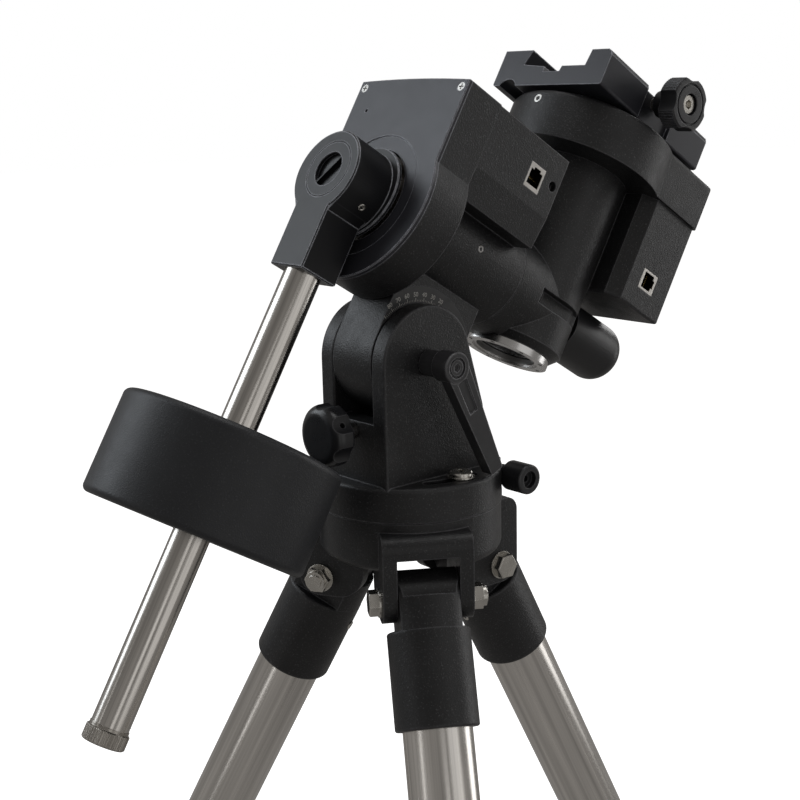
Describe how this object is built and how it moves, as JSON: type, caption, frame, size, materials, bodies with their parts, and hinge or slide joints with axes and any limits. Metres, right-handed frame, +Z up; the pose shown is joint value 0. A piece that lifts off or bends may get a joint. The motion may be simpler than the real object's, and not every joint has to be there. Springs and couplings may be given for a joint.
{
  "type": "equatorial telescope mount on tripod",
  "caption": "Motorised equatorial mount with a counterweight shaft, round-headed declination unit and dovetail saddle, on a three-legged steel tube tripod.",
  "frame": {"origin": "the floor point under the azimuth axis", "axes": "+Z up; -Y is the side the upper end of the polar axis points to (front plate and counterweight); +X is the side of the latitude lever and of both sockets"},
  "size_m": [0.6743, 0.6007, 0.9095],
  "materials": {
    "casting_black": "satin fine-textured black powder coat",
    "anodised_grey": "satin dark grey anodised face",
    "gloss_black": "semi-gloss black anodised",
    "weight_black": "matte black textured paint over cast iron",
    "stainless": "polished stainless steel",
    "zinc_steel": "bright steel fastener",
    "aluminium": "machined bare aluminium",
    "brass": "machined brass",
    "steel": "ground steel",
    "black_plastic": "moulded black plastic",
    "knob_plastic": "semi-gloss black moulded knob",
    "board_green": "printed circuit board",
    "lens_black": "dark window",
    "scale_plate": "engraved scale with light marks",
    "rubber": "black rubber foot"
  },
  "bodies": {
    "tripod": {"tripod_head": "casting_black", "leg_pivot_bolts": "zinc_steel"},
    "fork": {"fork_base": "casting_black", "altitude_axle": "steel"},
    "altitude_worm": {"altitude_worm": "steel", "altitude_knob": "knob_plastic"},
    "altitude_lever": {"altitude_lock_lever": "black_plastic"},
    "azimuth_knob_right": {"azimuth_knob_right": "knob_plastic"},
    "azimuth_knob_left": {"azimuth_knob_left": "knob_plastic"},
    "azimuth_lock_right": {"azimuth_lock_screw_right": "zinc_steel"},
    "azimuth_lock_left": {"azimuth_lock_screw_left": "zinc_steel"},
    "ra_housing": {"ra_housing": "casting_black", "front_plate": "anodised_grey", "plate_screws": "zinc_steel", "hand_control_port": "zinc_steel", "latitude_scale": "scale_plate", "control_board": "board_green", "ra_motor": "steel", "ra_bearings": "steel"},
    "ra_worm": {"ra_worm": "steel"},
    "ra_axis": {"ra_shaft": "aluminium", "ra_worm_wheel": "brass", "counterweight_holder": "gloss_black", "polar_window": "lens_black", "dec_housing": "casting_black", "dec_head": "casting_black", "dec_ring": "aluminium", "rear_cap": "black_plastic", "dec_port": "zinc_steel", "dec_motor": "steel", "dec_bearings": "steel", "counterweight_shaft": "stainless", "safety_cap": "zinc_steel"},
    "dec_worm": {"dec_worm": "steel"},
    "dec_axis": {"dec_shaft": "aluminium", "dec_worm_wheel": "brass", "saddle": "anodised_grey"},
    "saddle_jaw": {"saddle_jaw": "gloss_black"},
    "saddle_knob": {"saddle_knob": "knob_plastic", "saddle_clamp_screw": "zinc_steel"},
    "counterweight": {"counterweight": "weight_black"},
    "counterweight_lock": {"counterweight_lock_screw": "knob_plastic"},
    "leg_1": {"leg_1_socket": "casting_black", "leg_1_tube": "stainless", "leg_1_collar": "casting_black"},
    "leg_1_lock": {"leg_1_lock_knob": "black_plastic"},
    "lower_leg_1": {"leg_1_lower_tube": "stainless", "leg_1_foot": "rubber"},
    "leg_2": {"leg_2_socket": "casting_black", "leg_2_tube": "stainless", "leg_2_collar": "casting_black"},
    "leg_2_lock": {"leg_2_lock_knob": "black_plastic"},
    "lower_leg_2": {"leg_2_lower_tube": "stainless", "leg_2_foot": "rubber"},
    "leg_3": {"leg_3_socket": "casting_black", "leg_3_tube": "stainless", "leg_3_collar": "casting_black"},
    "leg_3_lock": {"leg_3_lock_knob": "black_plastic"},
    "lower_leg_3": {"leg_3_lower_tube": "stainless", "leg_3_foot": "rubber"}
  },
  "joints": [
    {"name": "leg_1_fold", "type": "hinge", "parent": "tripod", "child": "leg_1", "pos_m": [0.03965, -0.02468, 0.615], "axis": [0.5284, 0.849, 0], "range_deg": [0, 27]},
    {"name": "leg_1_lock_turn", "type": "hinge", "parent": "leg_1", "child": "leg_1_lock", "pos_m": [0.24166, -0.15042, 0.21571], "axis": [0.5284, 0.849, 0], "range_deg": [-90, 90]},
    {"name": "leg_1_extend", "type": "slide", "parent": "leg_1", "child": "lower_leg_1", "axis": [0.3907, -0.2432, -0.8878], "range_m": [-0.12, 0.25]},
    {"name": "leg_2_fold", "type": "hinge", "parent": "tripod", "child": "leg_2", "pos_m": [0.00155, 0.04667, 0.615], "axis": [-0.9995, 0.0332, 0], "range_deg": [0, 27]},
    {"name": "leg_2_lock_turn", "type": "hinge", "parent": "leg_2", "child": "leg_2_lock", "pos_m": [0.00944, 0.28449, 0.21571], "axis": [-0.9995, 0.0332, 0], "range_deg": [-90, 90]},
    {"name": "leg_2_extend", "type": "slide", "parent": "leg_2", "child": "lower_leg_2", "axis": [0.0153, 0.4599, -0.8878], "range_m": [-0.12, 0.25]},
    {"name": "leg_3_fold", "type": "hinge", "parent": "tripod", "child": "leg_3", "pos_m": [-0.0412, -0.022, 0.615], "axis": [0.471, -0.8821, 0], "range_deg": [0, 27]},
    {"name": "leg_3_lock_turn", "type": "hinge", "parent": "leg_3", "child": "leg_3_lock", "pos_m": [-0.2511, -0.13407, 0.21571], "axis": [0.471, -0.8821, 0], "range_deg": [-90, 90]},
    {"name": "leg_3_extend", "type": "slide", "parent": "leg_3", "child": "lower_leg_3", "axis": [-0.406, -0.2168, -0.8878], "range_m": [-0.12, 0.25]},
    {"name": "azimuth", "type": "hinge", "parent": "tripod", "child": "fork", "pos_m": [0, 0, 0.66], "axis": [0, 0, 1], "range_deg": [-10, 10]},
    {"name": "azimuth_knob_right_turn", "type": "hinge", "parent": "fork", "child": "azimuth_knob_right", "pos_m": [0.04, 0.0426, 0.6724], "axis": [1, 0, 0], "range_deg": [-2700, 2700]},
    {"name": "azimuth_knob_left_turn", "type": "hinge", "parent": "fork", "child": "azimuth_knob_left", "pos_m": [-0.04, 0.0426, 0.6724], "axis": [1, 0, 0], "range_deg": [-2700, 2700]},
    {"name": "azimuth_lock_right_turn", "type": "hinge", "parent": "tripod", "child": "azimuth_lock_right", "pos_m": [0.041, 0.0016, 0.679], "axis": [0, 0, 1], "range_deg": [0, 180]},
    {"name": "azimuth_lock_left_turn", "type": "hinge", "parent": "tripod", "child": "azimuth_lock_left", "pos_m": [-0.041, -0.0016, 0.679], "axis": [0, 0, 1], "range_deg": [0, 180]},
    {"name": "altitude_lever_turn", "type": "hinge", "parent": "fork", "child": "altitude_lever", "pos_m": [0.04, -0.0118, 0.7443], "axis": [1, 0, 0], "range_deg": [0, 40]},
    {"name": "latitude", "type": "hinge", "parent": "fork", "child": "ra_housing", "pos_m": [0, -0.0118, 0.7443], "axis": [-1, 0, 0], "range_deg": [-10, 28]},
    {"name": "altitude_worm_turn", "type": "hinge", "parent": "fork", "child": "altitude_worm", "pos_m": [0.0037, -0.043, 0.7078], "axis": [0, 1, 0], "range_deg": [-1000, 2700]},
    {"name": "ra_turn", "type": "hinge", "parent": "ra_housing", "child": "ra_axis", "pos_m": [0, 0.0339, 0.79702], "axis": [0, -0.854, 0.5203], "range_deg": [-95, 95]},
    {"name": "ra_worm_turn", "type": "hinge", "parent": "ra_housing", "child": "ra_worm", "pos_m": [0, 0.01117, 0.86965], "axis": [1, 0, 0], "range_deg": [-13700, 13700]},
    {"name": "dec_turn", "type": "hinge", "parent": "ra_axis", "child": "dec_axis", "pos_m": [0, 0.09342, 0.76076], "axis": [0, 0.5203, 0.854], "continuous": true},
    {"name": "dec_worm_turn", "type": "hinge", "parent": "ra_axis", "child": "dec_worm", "pos_m": [0, 0.18817, 0.81978], "axis": [1, 0, 0], "continuous": true},
    {"name": "jaw_slide", "type": "slide", "parent": "dec_axis", "child": "saddle_jaw", "axis": [1, 0, 0], "range_m": [-0.004, 0.004]},
    {"name": "saddle_knob_turn", "type": "hinge", "parent": "saddle_jaw", "child": "saddle_knob", "pos_m": [0.06, 0.16366, 0.87605], "axis": [1, 0, 0], "range_deg": [-1155, 1155]},
    {"name": "counterweight_slide", "type": "slide", "parent": "ra_axis", "child": "counterweight", "axis": [0, 0.5203, 0.854], "range_m": [-0.1, 0.002]},
    {"name": "counterweight_lock_turn", "type": "hinge", "parent": "counterweight", "child": "counterweight_lock", "pos_m": [-0.06, -0.1319, 0.69458], "axis": [1, 0, 0], "range_deg": [0, 360]}
  ],
  "couplings": [
    {"joint": "azimuth_knob_right_turn", "follows": "azimuth", "ratio": 267.66},
    {"joint": "azimuth_knob_left_turn", "follows": "azimuth", "ratio": 267.66},
    {"joint": "altitude_worm_turn", "follows": "latitude", "ratio": 95},
    {"joint": "ra_worm_turn", "follows": "ra_turn", "ratio": 144},
    {"joint": "dec_worm_turn", "follows": "dec_turn", "ratio": 144},
    {"joint": "saddle_knob_turn", "follows": "jaw_slide", "rad_per_m": 5026.5}
  ]
}
